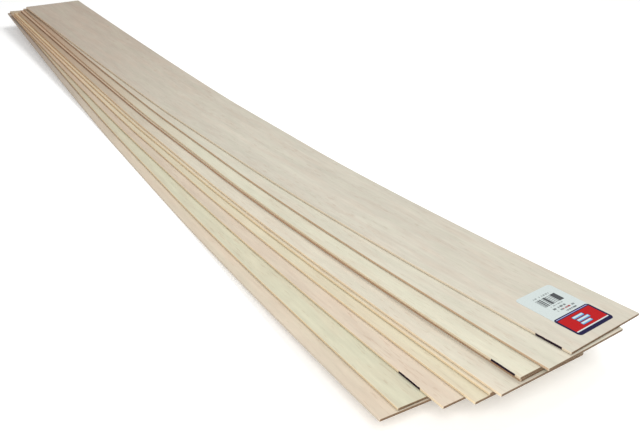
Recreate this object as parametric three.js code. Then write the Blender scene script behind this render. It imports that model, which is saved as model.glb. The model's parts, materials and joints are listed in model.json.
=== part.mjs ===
import * as THREE from 'three';

// A fanned pack of balsa modelling sheets with one printed label on the top sheet.
// Millimetres, +Z up. The labelled near end points to -Y and the table is z = 0.

// One sheet: 36 x 3 x 1/16 in stock.
const SHEET_LENGTH = 914.4;
const SHEET_WIDTH = 76.2;
const SHEET_THICKNESS = 1.59;
const LENGTH_STEPS = 48;

// The stack: air between sheets, and the point near the far end that the fan turns about.
const SHEET_GAP = 0.3;
const PIVOT_FROM_FAR_END = 30;
const PIVOT_Y = SHEET_LENGTH - PIVOT_FROM_FAR_END;

// The sheets lie flat along their middle and bow upwards to both ends. Going up the stack, each sheet's
// near end springs a little further up, and its far end lies a little closer to the sheet below. A bow's
// exponent is 1 for a straight ramp and 2 for an even curve.
const FLAT_START_Y = 340;
const FLAT_END_Y = 480;
const NEAR_LIFT = 15.6;
const NEAR_SPREAD = 0.1;
const NEAR_EXPONENT = 1.63;
const FAR_LIFT = 19.6;
const FAR_SPREAD = -0.05;
const FAR_EXPONENT = 1.3;

// Each sheet's place in the fan, from the table up: how far it has slid across and along the bottom
// sheet, and how many degrees it has turned. The tints are the pale wood's own variation.
const FAN = [
  { name: 'balsa_sheet_01', across: 0, along: 0, turn: 0, tint: 0xdcd0b2 },
  { name: 'balsa_sheet_02', across: 3.9, along: 1.3, turn: 0.65, tint: 0xd9d6bb },
  { name: 'balsa_sheet_03', across: 2.6, along: -12.5, turn: 2.15, tint: 0xdccbb2 },
  { name: 'balsa_sheet_04', across: 4, along: -20.9, turn: 3.13, tint: 0xdbd3b4 },
  { name: 'balsa_sheet_05', across: 4.9, along: -20.8, turn: 3.8, tint: 0xd9d2b2 },
  { name: 'balsa_sheet_06', across: 8, along: -27.2, turn: 3.77, tint: 0xdad1ba },
  { name: 'balsa_sheet_07', across: 12.7, along: -25, turn: 4.65, tint: 0xd8c8ac },
  { name: 'balsa_sheet_08', across: 16.5, along: -25, turn: 4.34, tint: 0xdad6be },
  { name: 'balsa_sheet_09', across: 21, along: -30.6, turn: 5.24, tint: 0xdbd4b9 },
  { name: 'balsa_sheet_10', across: 19.4, along: -29.1, turn: 6.77, tint: 0xd8d1c2 },
];
const WOOD_ROUGHNESS = 0.85;

// The label is self-adhesive paper, stuck on the top sheet by its near end.
const LABEL_WIDTH = 38;
const LABEL_LENGTH = 54;
const LABEL_CORNER_RADIUS = 3;
const LABEL_THICKNESS = 0.1;
const LABEL_ADHESIVE_GAP = 0.05;
const LABEL_CENTRE_ACROSS = 1.2;
const LABEL_CENTRE_FROM_NEAR_END = 34.7;
const LABEL_TINT = 0xf2efe9;
const PAPER_ROUGHNESS = 0.5;
const CORNER_SEGMENTS = 8;

// How far the bow lifts a sheet above its flat level.
function bowHeight(y, level) {
  const nearShare = Math.max(0, (FLAT_START_Y - y) / FLAT_START_Y);
  const farShare = Math.max(0, (y - FLAT_END_Y) / (SHEET_LENGTH - FLAT_END_Y));
  const near = (NEAR_LIFT + NEAR_SPREAD * level) * nearShare ** NEAR_EXPONENT;
  const far = (FAR_LIFT + FAR_SPREAD * level) * farShare ** FAR_EXPONENT;
  return near + far;
}

// Bends a piece, drawn flat with its origin at the fan's pivot, to the stack's bow where it lies.
function bend(geometry, turn, level) {
  const angle = THREE.MathUtils.degToRad(turn);
  const corners = geometry.attributes.position;
  for (let i = 0; i < corners.count; i++) {
    const y = PIVOT_Y + corners.getX(i) * Math.sin(angle) + corners.getY(i) * Math.cos(angle);
    corners.setZ(i, corners.getZ(i) + bowHeight(y, level));
  }
  geometry.computeVertexNormals();
  return geometry;
}

function sheetGeometry({ across, along }) {
  const geometry = new THREE.BoxGeometry(
    SHEET_WIDTH, SHEET_LENGTH, SHEET_THICKNESS, 1, LENGTH_STEPS, 1,
  );
  geometry.translate(across, along + PIVOT_FROM_FAR_END - SHEET_LENGTH / 2, SHEET_THICKNESS / 2);
  return geometry;
}

function labelGeometry({ across, along }) {
  const reachX = LABEL_WIDTH / 2 - LABEL_CORNER_RADIUS;
  const reachY = LABEL_LENGTH / 2 - LABEL_CORNER_RADIUS;
  const outline = new THREE.Shape();
  outline.absarc(reachX, reachY, LABEL_CORNER_RADIUS, 0, Math.PI / 2);
  outline.absarc(-reachX, reachY, LABEL_CORNER_RADIUS, Math.PI / 2, Math.PI);
  outline.absarc(-reachX, -reachY, LABEL_CORNER_RADIUS, Math.PI, 1.5 * Math.PI);
  outline.absarc(reachX, -reachY, LABEL_CORNER_RADIUS, 1.5 * Math.PI, 2 * Math.PI);
  const geometry = new THREE.ExtrudeGeometry(outline, {
    depth: LABEL_THICKNESS,
    bevelEnabled: false,
    curveSegments: CORNER_SEGMENTS,
  });
  geometry.translate(
    across + LABEL_CENTRE_ACROSS,
    along - PIVOT_Y + LABEL_CENTRE_FROM_NEAR_END,
    SHEET_THICKNESS + LABEL_ADHESIVE_GAP,
  );
  return geometry;
}

// One turned group for each sheet, all about the same upright axis.
function fanSheet(place, level) {
  const material = new THREE.MeshStandardMaterial({
    color: place.tint,
    roughness: WOOD_ROUGHNESS,
    metalness: 0,
  });
  const sheet = new THREE.Mesh(bend(sheetGeometry(place), place.turn, level), material);
  sheet.name = place.name;
  const turned = new THREE.Group();
  turned.position.set(0, PIVOT_Y, level * (SHEET_THICKNESS + SHEET_GAP));
  turned.rotation.z = THREE.MathUtils.degToRad(place.turn);
  turned.add(sheet);
  return turned;
}

function stockLabel(place, level) {
  const material = new THREE.MeshStandardMaterial({
    color: LABEL_TINT,
    roughness: PAPER_ROUGHNESS,
    metalness: 0,
  });
  const label = new THREE.Mesh(bend(labelGeometry(place), place.turn, level), material);
  label.name = 'stock_label';
  return label;
}

const stack = new THREE.Group();
FAN.forEach((place, level) => stack.add(fanSheet(place, level)));
stack.children.at(-1).add(stockLabel(FAN.at(-1), FAN.length - 1));

// The part's origin is the middle of its footprint, on the table.
const footprint = new THREE.Box3().setFromObject(stack, true);
const middle = footprint.getCenter(new THREE.Vector3());
stack.position.set(-middle.x, -middle.y, 0);

const pack = new THREE.Group();
pack.add(stack);

export default pack;
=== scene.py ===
"""A fanned pack of balsa modelling sheets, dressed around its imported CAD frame. Blender 4.5, metres."""

import json
import math
import random

import bmesh
import bpy
from mathutils import Matrix, Vector


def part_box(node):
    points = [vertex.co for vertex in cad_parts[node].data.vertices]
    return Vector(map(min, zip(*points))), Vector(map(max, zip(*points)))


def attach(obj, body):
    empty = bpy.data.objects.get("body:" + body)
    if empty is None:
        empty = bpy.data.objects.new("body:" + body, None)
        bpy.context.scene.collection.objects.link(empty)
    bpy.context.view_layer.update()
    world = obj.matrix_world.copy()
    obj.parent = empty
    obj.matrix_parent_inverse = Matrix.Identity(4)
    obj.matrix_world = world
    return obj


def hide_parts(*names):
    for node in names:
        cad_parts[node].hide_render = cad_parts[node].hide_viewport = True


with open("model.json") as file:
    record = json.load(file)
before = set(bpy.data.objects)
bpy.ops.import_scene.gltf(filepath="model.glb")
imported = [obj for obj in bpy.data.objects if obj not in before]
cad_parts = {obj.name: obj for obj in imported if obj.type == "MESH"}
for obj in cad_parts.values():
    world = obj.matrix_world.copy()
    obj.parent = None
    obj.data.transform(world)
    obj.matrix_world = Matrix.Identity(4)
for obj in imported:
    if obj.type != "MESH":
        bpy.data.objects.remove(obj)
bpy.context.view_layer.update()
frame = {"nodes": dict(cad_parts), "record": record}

MM = 0.001
SHEETS = sorted(name for name in frame["nodes"] if name.startswith("balsa_sheet"))
TOP_SHEET = SHEETS[-1]
LABEL = "stock_label"
SHEET_THICKNESS = 1.59 * MM
BURR = 0.18 * MM  # how far the saw's burr hangs under a sheet's left edge, over the sheet below
# The stretch where the pack lies flat, from the bottom sheet's near end, and how its two ends bow up.
FLAT_START = 340 * MM
FLAT_END = 480 * MM
NEAR_EXPONENT = 1.63
FAR_EXPONENT = 1.3


# ---------------------------------------------------------------- node helpers


class Shader:
    """A material's node tree, with short calls for the nodes used here."""

    def __init__(self, name):
        self.material = bpy.data.materials.new(name)
        self.material.use_nodes = True
        self.tree = self.material.node_tree
        self.principled = self.tree.nodes["Principled BSDF"]

    def link(self, source, target):
        self.tree.links.new(source, target)

    def feed(self, value, target):
        """Links a socket, or sets a plain value."""
        if isinstance(value, bpy.types.NodeSocket):
            self.link(value, target)
        else:
            target.default_value = value

    def attribute(self, name):
        node = self.tree.nodes.new("ShaderNodeAttribute")
        node.attribute_name = name
        return node.outputs["Vector"]

    def split(self, vector):
        node = self.tree.nodes.new("ShaderNodeSeparateXYZ")
        self.link(vector, node.inputs[0])
        return node.outputs["X"], node.outputs["Y"], node.outputs["Z"]

    def join(self, x, y, z=0.0):
        node = self.tree.nodes.new("ShaderNodeCombineXYZ")
        for value, target in zip((x, y, z), node.inputs):
            self.feed(value, target)
        return node.outputs[0]

    def math(self, operation, a, b=0.0, c=0.0):
        node = self.tree.nodes.new("ShaderNodeMath")
        node.operation = operation
        for value, target in zip((a, b, c), node.inputs):
            self.feed(value, target)
        return node.outputs[0]

    def scaled(self, vector, scale, offset=(0.0, 0.0, 0.0)):
        node = self.tree.nodes.new("ShaderNodeMapping")
        self.link(vector, node.inputs["Vector"])
        node.inputs["Scale"].default_value = scale
        node.inputs["Location"].default_value = offset
        return node.outputs[0]

    def noise(self, vector, detail, roughness=0.5):
        node = self.tree.nodes.new("ShaderNodeTexNoise")
        self.link(vector, node.inputs["Vector"])
        node.inputs["Scale"].default_value = 1.0
        node.inputs["Detail"].default_value = detail
        node.inputs["Roughness"].default_value = roughness
        return node.outputs["Fac"]

    def white_noise(self, vector):
        node = self.tree.nodes.new("ShaderNodeTexWhiteNoise")
        self.link(vector, node.inputs["Vector"])
        return node.outputs["Value"]

    def ramp(self, value, low, high, start=0.0, end=1.0):
        """value, from low..high to start..end, with a smooth shoulder at both limits."""
        node = self.tree.nodes.new("ShaderNodeMapRange")
        node.interpolation_type = "SMOOTHSTEP"
        self.feed(value, node.inputs["Value"])
        node.inputs["From Min"].default_value = low
        node.inputs["From Max"].default_value = high
        node.inputs["To Min"].default_value = start
        node.inputs["To Max"].default_value = end
        return node.outputs["Result"]

    def mix(self, share, a, b):
        node = self.tree.nodes.new("ShaderNodeMix")
        node.data_type = "RGBA"
        self.feed(share, node.inputs["Factor"])
        self.feed(a, node.inputs["A"])
        self.feed(b, node.inputs["B"])
        return node.outputs["Result"]

    def dimmed(self, colour, factor):
        """A colour multiplied by a number."""
        node = self.tree.nodes.new("ShaderNodeVectorMath")
        node.operation = "SCALE"
        self.feed(colour, node.inputs[0])
        self.feed(factor, node.inputs["Scale"])
        return node.outputs[0]

    def bump(self, height, distance, strength, normal=None):
        node = self.tree.nodes.new("ShaderNodeBump")
        self.link(height, node.inputs["Height"])
        node.inputs["Distance"].default_value = distance
        node.inputs["Strength"].default_value = strength
        if normal is not None:
            self.link(normal, node.inputs["Normal"])
        return node.outputs["Normal"]


def srgb(red, green, blue):
    """A linear colour from ordinary 0..255 values."""

    def linear(value):
        share = value / 255
        return share / 12.92 if share <= 0.04045 else ((share + 0.055) / 1.055) ** 2.4

    return (linear(red), linear(green), linear(blue), 1.0)


# ---------------------------------------------------------------- materials

EDGE_DEPTH = 0.35 * MM  # how far a sawn edge's tone shows onto the face; on the long edges that tone is partly painted light and shade
PORE_BROWN = srgb(150, 112, 82)
HEARTWOOD_PINK = srgb(196, 164, 142)
SAP_GREEN = srgb(186, 192, 168)
END_DARK = srgb(84, 58, 36)
END_LIGHT = srgb(128, 94, 62)
INK = srgb(40, 24, 38)
TONE_START = 0.36  # metres from the near end where the wood starts to turn to its far tone, which is partly painted shade
TONE_END = 0.86
NOISE_STRIDE = (7.31, 3.77, 1.93)  # how far apart two sheets lie in the noises, so that no two look alike
WANDER = 16 * MM  # how far the grain drifts from side to side down the sheet
WANDER_WAVES = (9, 2.2, 9)  # waves per metre across, along and up, here and below
# The grain's layers, coarse to fine: waves per metre across and along the sheet, octaves, roughness, and
# how far each one swings the wood's shade.
GRAIN = {
    "bands": (38, 1.1, 2, 0.6, 0.2),
    "streaks": (150, 9, 3, 0.6, 0.2),
    "body": (400, 38, 3, 0.6, 0.21),
    "fine": (850, 80, 3, 0.65, 0.14),
    "hair": (2600, 160, 2, 0.6, 0.06),
}
PATCH_WAVES = (70, 26, 70)
PATCH_SWING = 0.13
TINT_WAVES = (130, 22, 130)
TINT_STRENGTH = 0.11
# The bands that vessel lines gather in, and the lines themselves, with the same four numbers as a layer.
FLECK_BANDS = (75, 5, 2, 0.6)
FLECK_GRAIN = (1000, 90, 1.5, 0.5)
FLECK_SOFTNESS = 0.08
FLECK_STRENGTH = 0.19
FIBRE_RELIEF = 0.05 * MM
CELL_RELIEF = 0.03 * MM
CELLS = 2600  # wood cells per metre on the sawn faces
# How strongly the long edges' tone, partly painted light and shade, covers the face there.
EDGE_TONE_AND_SHADE_STRENGTH = 0.85
END_STRENGTH = 0.9
INK_RAGGED = 1.2 * MM  # how unevenly a marker stroke begins and stops
INK_FADE = 0.3 * MM
INK_REACH = 0.15 * MM  # how far the ink soaks onto the face
INK_BLEED = 0.4 * MM  # how unevenly it does


def balsa(name, seed, look, width, length, ink=None):
    """Raw balsa along the sheet's own length. look holds the tones of its faces and long edges, near and
    far, which are partly painted shade and light, and ink is where a marker has crossed the left edge, as
    (start, end) from the near end."""
    s = Shader(name)
    place = s.attribute("grain")
    across, along, depth = s.split(place)
    shift = tuple(seed * stride for stride in NOISE_STRIDE)

    def grain(frequency_across, frequency_along, detail, roughness):
        frequency = (frequency_across, frequency_along, frequency_across)
        return s.noise(s.scaled(fibre, frequency, shift), detail=detail, roughness=roughness)

    def swing(value, amount):
        """A number that swings evenly about zero, from a noise that swings about one half."""
        return s.math("MULTIPLY", s.math("SUBTRACT", value, 0.5), amount)

    # The grain wanders a little from side to side down the sheet.
    wander = s.noise(s.scaled(place, WANDER_WAVES, shift), detail=1)
    wandered = s.math("MULTIPLY_ADD", wander, WANDER, across)
    fibre = s.join(wandered, along, depth)

    layers = {part: grain(*waves) for part, (*waves, _) in GRAIN.items()}
    fine = layers["fine"]
    patch = s.noise(s.scaled(place, PATCH_WAVES, shift), detail=3, roughness=0.6)
    tint = s.noise(s.scaled(place, TINT_WAVES, (shift[1], shift[2], shift[0])), detail=2)

    # Vessel lines: short brown dashes along the grain, thicker in some bands than in others.
    threshold = s.ramp(grain(*FLECK_BANDS), 0.35, 0.7, 0.68, 0.58)
    flecks = s.ramp(s.math("SUBTRACT", grain(*FLECK_GRAIN), threshold), 0.0, FLECK_SOFTNESS)

    # How far the wood has turned to its far tone, which is partly painted shade.
    far = s.ramp(along, TONE_START, TONE_END)
    wood = s.mix(far, look["near"], look["far"])
    wood = s.mix(s.ramp(tint, 0.45, 0.7, 0.0, TINT_STRENGTH), wood, HEARTWOOD_PINK)
    wood = s.mix(s.ramp(tint, 0.55, 0.3, 0.0, TINT_STRENGTH), wood, SAP_GREEN)
    shade = 0.0
    for part, (*_, amount) in GRAIN.items():
        shade = s.math("ADD", shade, swing(layers[part], amount))
    shade = s.math("ADD", shade, swing(patch, PATCH_SWING))
    wood = s.dimmed(wood, s.math("ADD", shade, 1.0))
    wood = s.mix(s.math("MULTIPLY", flecks, FLECK_STRENGTH), wood, PORE_BROWN)

    # The long edges have tones of their own, partly painted: paler than the faces as painted light on
    # side faces that the lamps reach less, and darker as painted shade of the gaps between the sheets.
    # The end grain is darker.
    half = width / 2
    from_side = s.math("SUBTRACT", half, s.math("ABSOLUTE", s.math("SUBTRACT", across, half)))
    side = s.ramp(s.math("ADD", from_side, swing(fine, EDGE_DEPTH)), 0.0, EDGE_DEPTH, 1.0, 0.0)
    edge_tone_and_shade = s.mix(far, look["near_edge_light_and_shade"], look["far_edge_light_and_shade"])
    wood = s.mix(s.math("MULTIPLY", side, EDGE_TONE_AND_SHADE_STRENGTH), wood, edge_tone_and_shade)
    middle = length / 2
    from_end = s.math("SUBTRACT", middle, s.math("ABSOLUTE", s.math("SUBTRACT", along, middle)))
    cells = s.noise(s.scaled(place, (CELLS,) * 3, shift), detail=2, roughness=0.7)
    end = s.ramp(s.math("ADD", from_end, swing(cells, EDGE_DEPTH)), 0.0, EDGE_DEPTH, 1.0, 0.0)
    end_wood = s.mix(s.ramp(cells, 0.35, 0.65), END_DARK, END_LIGHT)
    wood = s.mix(s.math("MULTIPLY", end, END_STRENGTH), wood, end_wood)

    if ink is not None:
        start, stop = ink
        at = s.math("ADD", along, swing(cells, INK_RAGGED))
        begun = s.ramp(at, start, start + INK_FADE)
        going = s.ramp(at, stop - INK_FADE, stop, 1.0, 0.0)
        bleed = s.math("ADD", swing(layers["hair"], INK_BLEED), INK_REACH)
        inked = s.math("LESS_THAN", across, bleed)
        wood = s.mix(s.math("MULTIPLY", s.math("MULTIPLY", begun, going), inked), wood, INK)

    s.link(wood, s.principled.inputs["Base Color"])
    s.link(s.ramp(fine, 0.3, 0.7, 0.78, 0.92), s.principled.inputs["Roughness"])
    s.principled.inputs["Specular IOR Level"].default_value = 0.2
    coarse = s.bump(s.math("SUBTRACT", fine, s.math("MULTIPLY", flecks, 0.8)), FIBRE_RELIEF, 0.4)
    s.link(s.bump(cells, CELL_RELIEF, 0.3, coarse), s.principled.inputs["Normal"])
    return s.material


LABEL_SIZE = (38 * MM, 54 * MM)
LABEL_RADIUS = 3 * MM
LABEL_WHITE = srgb(200, 209, 208)
LABEL_SHADE = srgb(193, 202, 200)
LABEL_RED = srgb(174, 6, 12)
LABEL_NAVY = srgb(16, 12, 58)
LABEL_SKY = srgb(96, 164, 206)
LABEL_LILAC = srgb(150, 150, 196)
PRINT_GREY = srgb(56, 58, 62)
PRINT_SOFTNESS = 0.05 * MM  # how soft the edge of the print is
PAPER_FIBRES = 900  # per metre
PAPER_RELIEF = 0.02 * MM
# The print below is in millimetres from the label's middle, across it and along it to the far end.
# The coloured panel's inks, first to last: centre along, half sizes, corner radius and ink. They leave it
# navy all round, with pale lines inside its two long sides, a pale stripe and a red field.
PANEL_INKS = (
    (-16.0, 19.0, 11.0, 2.6, LABEL_NAVY),
    (-16.0, 17.0, 10.0, 0.3, LABEL_LILAC),
    (-16.0, 17.0, 9.3, 0.3, LABEL_NAVY),
    (-24.9, 18.0, 1.2, 0.3, LABEL_NAVY),
    (-23.1, 17.2, 0.6, 0.2, LABEL_WHITE),
    (-15.1, 17.2, 7.6, 0.3, LABEL_RED),
)
# The bar pattern: its centre and half sizes, then its stroke pitch, inked share and seed.
BARS = (1.5, 12.8, 10.5, 4.6)
BAR_STROKES = (0.62, 0.66, 3.0)
# Rows of dashes: centre and half sizes, then stroke pitch, inked share and seed, then strength and ink.
DASH_ROWS = (
    (1.5, 19.6, 9.5, 0.7, 0.9, 0.62, 5.0, 0.6, PRINT_GREY),
    (1.5, 6.4, 8.5, 0.5, 0.8, 0.5, 9.0, 0.5, PRINT_GREY),
    (-0.5, 3.3, 6.5, 0.9, 1.0, 0.62, 2.0, 0.75, PRINT_GREY),
    (3.0, 0.3, 9.0, 0.8, 0.9, 0.6, 7.0, 0.65, PRINT_GREY),
    (3.5, 0.3, 4.0, 0.8, 0.9, 0.5, 1.0, 0.7, LABEL_RED),
    (5.0, -2.7, 5.5, 0.7, 0.6, 0.8, 4.0, 0.8, PRINT_GREY),
)
# The sign's three slats, near to far: how far each is shifted across, and half its length.
SLATS = ((-0.6, 5.6), (1.0, 6.4), (0.0, 5.8))
SLAT_PITCH = 3.7
SIGN_ALONG = -15.1
# A slat's inks, first to last: how much shorter at each end, how far along, half depth, radius and ink.
SLAT_INKS = (
    (0.0, 0.0, 1.6, 0.6, LABEL_NAVY),
    (0.3, 0.0, 1.3, 0.5, LABEL_SKY),
    (0.7, 0.35, 0.65, 0.3, LABEL_WHITE),
)


def box_mask(s, x, y, centre_x, centre_y, half_x, half_y, radius):
    """1 inside a rounded rectangle, 0 outside it. All sizes are in metres."""

    def past(value, centre, half):
        from_centre = s.math("ABSOLUTE", s.math("SUBTRACT", value, centre))
        return s.math("SUBTRACT", from_centre, half - radius)

    dx = past(x, centre_x, half_x)
    dy = past(y, centre_y, half_y)
    outer = s.math("SQRT", s.math(
        "ADD",
        s.math("POWER", s.math("MAXIMUM", dx, 0.0), 2.0),
        s.math("POWER", s.math("MAXIMUM", dy, 0.0), 2.0),
    ))
    inner = s.math("MINIMUM", s.math("MAXIMUM", dx, dy), 0.0)
    distance = s.math("SUBTRACT", s.math("ADD", outer, inner), radius)
    return s.ramp(distance, -PRINT_SOFTNESS, PRINT_SOFTNESS, 1.0, 0.0)


def printed_label(name):
    """Coated paper with a generic print: a bar pattern, rows of dashes that stand for small text, and a
    coloured panel with a plain stack-of-sheets sign."""
    s = Shader(name)
    place = s.attribute("print")
    x, y, _ = s.split(place)

    def box(centre_x, centre_y, half_x, half_y, radius=0.0):
        return box_mask(s, x, y, centre_x * MM, centre_y * MM, half_x * MM, half_y * MM, radius * MM)

    def strokes(pitch, share, seed):
        """Strokes across the label, each as wide as the pitch, with about that share of them inked."""
        cell = s.math("FLOOR", s.math("DIVIDE", x, pitch * MM))
        return s.math("LESS_THAN", s.white_noise(s.join(cell, seed)), share)

    def over(mask, tone, strength=1.0):
        """The print so far with one more ink on it."""
        return s.mix(s.math("MULTIPLY", mask, strength), colour, tone)

    fibre = s.noise(s.scaled(place, (PAPER_FIBRES,) * 3), detail=3, roughness=0.6)
    colour = s.mix(s.ramp(fibre, 0.3, 0.75), LABEL_WHITE, LABEL_SHADE)
    colour = over(s.math("MULTIPLY", box(*BARS), strokes(*BAR_STROKES)), PRINT_GREY, 0.95)
    for centre_x, centre_y, half_x, half_y, pitch, share, seed, strength, tone in DASH_ROWS:
        row = s.math("MULTIPLY", box(centre_x, centre_y, half_x, half_y), strokes(pitch, share, seed))
        colour = over(row, tone, strength)

    for centre_y, half_x, half_y, radius, tone in PANEL_INKS:
        colour = over(box(0.0, centre_y, half_x, half_y, radius), tone)
    for step, (shift, half) in enumerate(SLATS, start=-1):
        slat_y = SIGN_ALONG + step * SLAT_PITCH
        for trim, further, half_y, radius, tone in SLAT_INKS:
            colour = over(box(shift, slat_y + further, half - trim, half_y, radius), tone)

    s.link(colour, s.principled.inputs["Base Color"])
    s.link(s.ramp(fibre, 0.3, 0.7, 0.55, 0.65), s.principled.inputs["Roughness"])
    s.principled.inputs["Specular IOR Level"].default_value = 0.15
    s.link(s.bump(fibre, PAPER_RELIEF, 0.3), s.principled.inputs["Normal"])
    return s.material


def floor_material():
    """Plain white acrylic with a faint even glow of its own, so that it stays white."""
    s = Shader("floor_acrylic")
    s.principled.inputs["Base Color"].default_value = (FLOOR_WHITE, FLOOR_WHITE, FLOOR_WHITE, 1)
    s.principled.inputs["Roughness"].default_value = 0.9
    s.principled.inputs["Specular IOR Level"].default_value = 0.0
    s.principled.inputs["Emission Color"].default_value = (1, 1, 1, 1)
    s.principled.inputs["Emission Strength"].default_value = FLOOR_GLOW
    return s.material


# ---------------------------------------------------------------- the sheets


LOWER_FIRST = 0.01  # a light weight on height, to choose between a corner's upper and lower vertex


def plan_corner(node, side_x, side_y):
    """The lower vertex at a sheet's own corner in plan: near or far (side_y), left or right (side_x)."""
    points = (v.co for v in frame["nodes"][node].data.vertices)
    return max(points, key=lambda p: side_x * p.x + side_y * p.y - LOWER_FIRST * p.z)


NEAR_END_Y = plan_corner(SHEETS[0], -1, -1).y
FAR_END_Y = plan_corner(SHEETS[0], -1, 1).y


def near_share(y):
    start = NEAR_END_Y + FLAT_START
    return max(0.0, (start - y) / FLAT_START) ** NEAR_EXPONENT


def far_share(y):
    start = NEAR_END_Y + FLAT_END
    return max(0.0, (y - start) / (FAR_END_Y - start)) ** FAR_EXPONENT


class SheetPlace:
    """Where a CAD sheet lies: its corner, its two directions, its sizes and the lift of its two ends."""

    def __init__(self, node):
        near_left = plan_corner(node, -1, -1)
        near_right = plan_corner(node, 1, -1)
        far_left = plan_corner(node, -1, 1)
        self.corner = near_left.to_2d()
        self.width = (near_right.to_2d() - self.corner).length
        self.length = (far_left.to_2d() - self.corner).length
        self.across = (near_right.to_2d() - self.corner).normalized()
        self.along = (far_left.to_2d() - self.corner).normalized()
        self.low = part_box(node)[0].z
        self.burr = 0.0 if node == SHEETS[0] else BURR
        self.near_lift = (near_left.z - self.low) / near_share(near_left.y)
        self.far_lift = (far_left.z - self.low) / far_share(far_left.y)

    def point(self, across, along, up):
        """A point of the sheet, from metres across and along it and up through its thickness."""
        plan = self.corner + self.across * across + self.along * along
        lift = self.near_lift * near_share(plan.y) + self.far_lift * far_share(plan.y)
        return Vector((plan.x, plan.y, self.low + lift + up))


def loft(name, rings, attribute):
    """A closed mesh through rings of (point, attribute value) pairs, with flat ends."""
    mesh = bpy.data.meshes.new(name)
    bm = bmesh.new()
    layer = bm.verts.layers.float_vector.new(attribute)
    loops = []
    for ring in rings:
        loop = []
        for point, value in ring:
            vertex = bm.verts.new(point)
            vertex[layer] = value
            loop.append(vertex)
        loops.append(loop)
    for loop, following in zip(loops, loops[1:]):
        for i in range(len(loop)):
            j = (i + 1) % len(loop)
            bm.faces.new((loop[i], loop[j], following[j], following[i]))
    bm.faces.new(list(reversed(loops[0])))
    bm.faces.new(loops[-1])
    bmesh.ops.recalc_face_normals(bm, faces=bm.faces)
    bm.to_mesh(mesh)
    bm.free()
    return mesh


EASED = 0.15 * MM  # the sanded break of each long edge
EASED_MIDDLE = 0.3 * EASED  # how far in and down the middle of that break lies
CORNER_WEAR = 0.9 * MM  # plan radius of a handled corner
CORNER_STATIONS = (0.0, 0.05 * MM, 0.15 * MM, 0.3 * MM, 0.55 * MM, CORNER_WEAR)
FACE_STEPS = 10
STATION_PITCH = 5 * MM
EDGE_WAVE = 0.08 * MM  # how far a long edge wanders from straight
WAVES_PER_EDGE = 3
WAVE_PITCH = (0.04, 0.2)  # the shortest and the longest wave, in metres
WAVE_SEED = 11


def section(inset, burr):
    """The sheet's cross-section as (side, share across, inward offset, height), counterclockwise from
    the left edge's foot; side is -1 or 1 at the eased edges and 0 on the faces."""
    top = SHEET_THICKNESS
    corner = [(EASED, 0.0), (EASED_MIDDLE, EASED_MIDDLE), (0.0, EASED)]
    points = [(0, i / FACE_STEPS, 0.0, 0.0) for i in range(1, FACE_STEPS)]
    points += [(1, 1.0, x + inset, z) for x, z in corner]
    points += [(1, 1.0, x + inset, top - z) for x, z in reversed(corner)]
    points += [(0, 1 - i / FACE_STEPS, 0.0, top) for i in range(1, FACE_STEPS)]
    points += [(-1, 0.0, x + inset, top - z) for x, z in corner]
    points += [(-1, 0.0, x + inset, z - burr) for x, z in reversed(corner)]
    return points


def stations(length):
    """Distances along the sheet: close together round the worn corners, even between them."""
    straight = length - 2 * CORNER_WEAR
    count = round(straight / STATION_PITCH)
    middle = [CORNER_WEAR + straight * i / count for i in range(1, count)]
    return [*CORNER_STATIONS, *middle, *(length - d for d in reversed(CORNER_STATIONS))]


def corner_inset(from_end):
    """How far a worn corner pulls the long edge in, this far from the end."""
    if from_end >= CORNER_WEAR:
        return 0.0
    return CORNER_WEAR - math.sqrt(CORNER_WEAR**2 - (CORNER_WEAR - from_end) ** 2)


def edge_wave(waves, along):
    """A number from -1 to 1 that wanders evenly down an edge."""
    return sum(math.sin(math.tau * along / pitch + phase) for pitch, phase in waves) / len(waves)


def sheet_mesh(name, place, draw):
    """One balsa sheet as a closed mesh with eased edges and worn corners, bowed as the CAD sheet is.
    Its grain attribute holds metres across, along and up through the sheet."""
    waves = [(draw.uniform(*WAVE_PITCH), draw.uniform(0, math.tau)) for _ in range(2 * WAVES_PER_EDGE)]
    rings = []
    for along in stations(place.length):
        inset = corner_inset(min(along, place.length - along))
        left = edge_wave(waves[:WAVES_PER_EDGE], along)
        right = edge_wave(waves[WAVES_PER_EDGE:], along)
        ring = []
        for side, share, inward, up in section(inset, place.burr):
            across = share * place.width
            if side < 0:
                across += inward + EDGE_WAVE * (1 + left) / 2
            elif side > 0:
                across -= inward + EDGE_WAVE * (1 + right) / 2
            ring.append((place.point(across, along, up), (across, along, up)))
        rings.append(ring)
    mesh = loft(name, rings, "grain")
    mesh.shade_smooth()
    return mesh


def add_piece(name, mesh, material, body, node):
    piece = bpy.data.objects.new(name, mesh)
    bpy.context.scene.collection.objects.link(piece)
    mesh.materials.append(material)
    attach(piece, body)
    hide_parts(node)
    return piece


def look(near, far, near_edge_light_and_shade, far_edge_light_and_shade):
    tones = {"near": near, "far": far, "near_edge_light_and_shade": near_edge_light_and_shade, "far_edge_light_and_shade": far_edge_light_and_shade}
    return {part: srgb(*tone) for part, tone in tones.items()}


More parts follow.
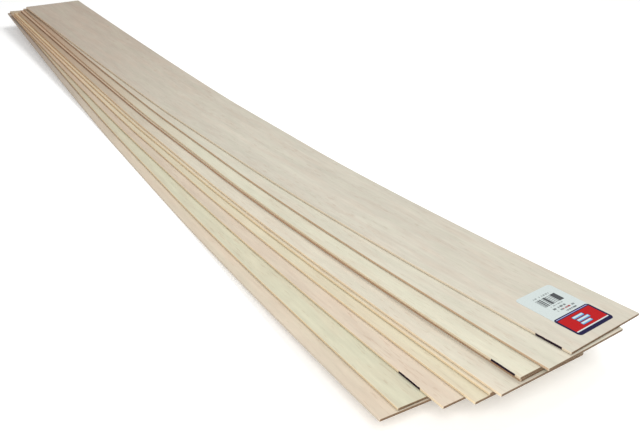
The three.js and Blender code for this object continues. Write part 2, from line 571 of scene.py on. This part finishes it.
# Each sheet's wood near the label end and at the far end, and its long edges there, from the table up.
# The far tones are partly the wood's own and partly painted shade: the far end's dimmer light, and, on
# the lower sheets' narrow strips, the shade of the sheets above.
# The edge tones are partly the sawn wood's own and partly painted light and shade: paler than the faces
# on most sheets, as painted light on side faces that the lamps reach less, and darker where the gaps
# between the sheets lie in shade, most of all on sheet_07's edge under sheet_08 and toward the far ends.
LOOKS = {
    "balsa_sheet_01": look((205, 192, 173), (164, 152, 142), (196, 182, 164), (168, 148, 126)),
    "balsa_sheet_02": look((202, 198, 175), (180, 163, 140), (236, 214, 178), (196, 160, 120)),
    "balsa_sheet_03": look((204, 190, 172), (184, 162, 140), (236, 214, 180), (196, 160, 122)),
    "balsa_sheet_04": look((206, 197, 173), (208, 183, 156), (236, 214, 178), (204, 166, 122)),
    "balsa_sheet_05": look((208, 195, 172), (204, 181, 150), (240, 218, 182), (202, 164, 120)),
    "balsa_sheet_06": look((204, 197, 181), (168, 145, 122), (240, 218, 186), (196, 158, 120)),
    "balsa_sheet_07": look((206, 194, 174), (190, 164, 140), (184, 142, 108), (150, 108, 78)),
    "balsa_sheet_08": look((205, 201, 182), (172, 148, 126), (222, 202, 172), (186, 150, 118)),
    "balsa_sheet_09": look((204, 199, 183), (194, 180, 162), (200, 168, 136), (182, 144, 112)),
    "balsa_sheet_10": look((200, 194, 180), (182, 170, 156), (232, 216, 192), (214, 190, 160)),
}
# Where a marker stroke crosses a sheet's left edge, in metres from its near end.
INK_MARKS = {
    "balsa_sheet_03": (21 * MM, 42 * MM),
    "balsa_sheet_08": (4 * MM, 24 * MM),
    "balsa_sheet_10": (7 * MM, 28 * MM),
}
BODY_OF = {node: body for body, nodes in frame["record"]["behaviour"]["bodies"].items() for node in nodes}


def make_sheets():
    draw = random.Random(WAVE_SEED)
    for seed, node in enumerate(SHEETS, start=1):
        place = SheetPlace(node)
        material = balsa(
            f"balsa_{seed:02d}", seed, LOOKS[node], place.width, place.length, INK_MARKS.get(node)
        )
        mesh = sheet_mesh(f"wood_{node}", place, draw)
        add_piece(f"wood_{node}", mesh, material, BODY_OF[node], node)


# ---------------------------------------------------------------- the label

LABEL_RISE = SHEET_THICKNESS + 0.03 * MM  # from the sheet's underside to the label's
LABEL_THICKNESS = 0.11 * MM
LABEL_CORNER_STEPS = 8
LABEL_ROWS = 18


def label_half_width(y):
    """Half the label's width, this far along it from its middle."""
    half_x, half_y = LABEL_SIZE[0] / 2, LABEL_SIZE[1] / 2
    into_corner = max(0.0, abs(y) - (half_y - LABEL_RADIUS))
    return half_x - LABEL_RADIUS + math.sqrt(max(0.0, LABEL_RADIUS**2 - into_corner**2))


def label_rows():
    """Distances along the label from its middle, close together round its corners."""
    straight = LABEL_SIZE[1] / 2 - LABEL_RADIUS
    quarter = [math.pi / 2 * i / LABEL_CORNER_STEPS for i in range(1, LABEL_CORNER_STEPS + 1)]
    corner = [straight + LABEL_RADIUS * math.sin(angle) for angle in quarter]
    middle = [straight * (2 * i / LABEL_ROWS - 1) for i in range(LABEL_ROWS + 1)]
    return [-y for y in reversed(corner)] + middle + corner


def label_mesh(name):
    """A thin rounded rectangle of paper that follows the sheet under it. Its print attribute holds metres
    across and along it from its middle."""
    low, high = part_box(LABEL)
    place = SheetPlace(TOP_SHEET)
    middle = ((low + high) / 2).to_2d() - place.corner
    corners = ((-1, 0.0), (1, 0.0), (1, LABEL_THICKNESS), (-1, LABEL_THICKNESS))
    rings = []
    for y in label_rows():
        ring = []
        for side, up in corners:
            x = side * label_half_width(y)
            across = middle.dot(place.across) + x
            along = middle.dot(place.along) + y
            ring.append((place.point(across, along, LABEL_RISE + up), (x, y, up)))
        rings.append(ring)
    return loft(name, rings, "print")


def make_label():
    material = printed_label("label_print")
    add_piece("paper_label", label_mesh("paper_label"), material, BODY_OF[LABEL], LABEL)


# ---------------------------------------------------------------- stage, light and camera

FLOOR_REACH = 6.0
FLOOR_WHITE = 0.94
FLOOR_GLOW = 0.17
SKY_TINT = (0.97, 0.985, 1.0)
SKY_STRENGTH = 0.42
LAMP_TINT = (1.0, 0.99, 0.97)
# The studio's lamps: name, place, the point that each faces, diameter in metres and power in watts.
LAMPS = (
    ("near_left", (-0.6, -1.1, 0.95), (0.0, -0.4, 0.0), 0.9, 12.5),
    ("over_right", (0.6, 0.1, 1.35), (0.0, 0.0, 0.0), 1.0, 11.5),
)
CAMERA_PLACE = Vector((-0.3297, -0.7163, 0.3469))
CAMERA_TURN = 33.18  # degrees to the right of straight along the sheets
CAMERA_DOWN = 29.05
CAMERA_ROLL = 3.54
CAMERA_LENS = 45.2  # millimetres, for the sensor width below
CAMERA_SENSOR = 36.0
CAMERA_CLIP_START = 0.01


def make_floor():
    mesh = bpy.data.meshes.new("floor")
    corners = ((-1, -1), (1, -1), (1, 1), (-1, 1))
    mesh.from_pydata([(x * FLOOR_REACH, y * FLOOR_REACH, 0.0) for x, y in corners], [], [(0, 1, 2, 3)])
    mesh.materials.append(floor_material())
    floor = bpy.data.objects.new("floor", mesh)
    bpy.context.scene.collection.objects.link(floor)


def area_light(name, place, aim, size, power):
    data = bpy.data.lights.new(name, "AREA")
    data.shape = "DISK"
    data.size = size
    data.energy = power
    data.color = LAMP_TINT
    light = bpy.data.objects.new(name, data)
    light.location = place
    light.rotation_euler = (Vector(aim) - Vector(place)).to_track_quat("-Z", "Y").to_euler()
    bpy.context.scene.collection.objects.link(light)


def make_lights():
    world = bpy.data.worlds.new("studio")
    world.use_nodes = True
    background = world.node_tree.nodes["Background"]
    background.inputs["Color"].default_value = (*SKY_TINT, 1.0)
    background.inputs["Strength"].default_value = SKY_STRENGTH
    bpy.context.scene.world = world
    for lamp in LAMPS:
        area_light(*lamp)


def make_camera():
    data = bpy.data.cameras.new("camera")
    data.lens = CAMERA_LENS
    data.sensor_width = CAMERA_SENSOR
    data.clip_start = CAMERA_CLIP_START
    camera = bpy.data.objects.new("camera", data)
    camera.matrix_world = (
        Matrix.Translation(CAMERA_PLACE)
        @ Matrix.Rotation(-math.radians(CAMERA_TURN), 4, "Z")
        @ Matrix.Rotation(math.radians(90 - CAMERA_DOWN), 4, "X")
        @ Matrix.Rotation(math.radians(CAMERA_ROLL), 4, "Z")
    )
    bpy.context.scene.collection.objects.link(camera)
    bpy.context.scene.camera = camera


make_camera()
make_sheets()
make_label()
make_floor()
make_lights()
bpy.context.scene.view_settings.view_transform = "Standard"
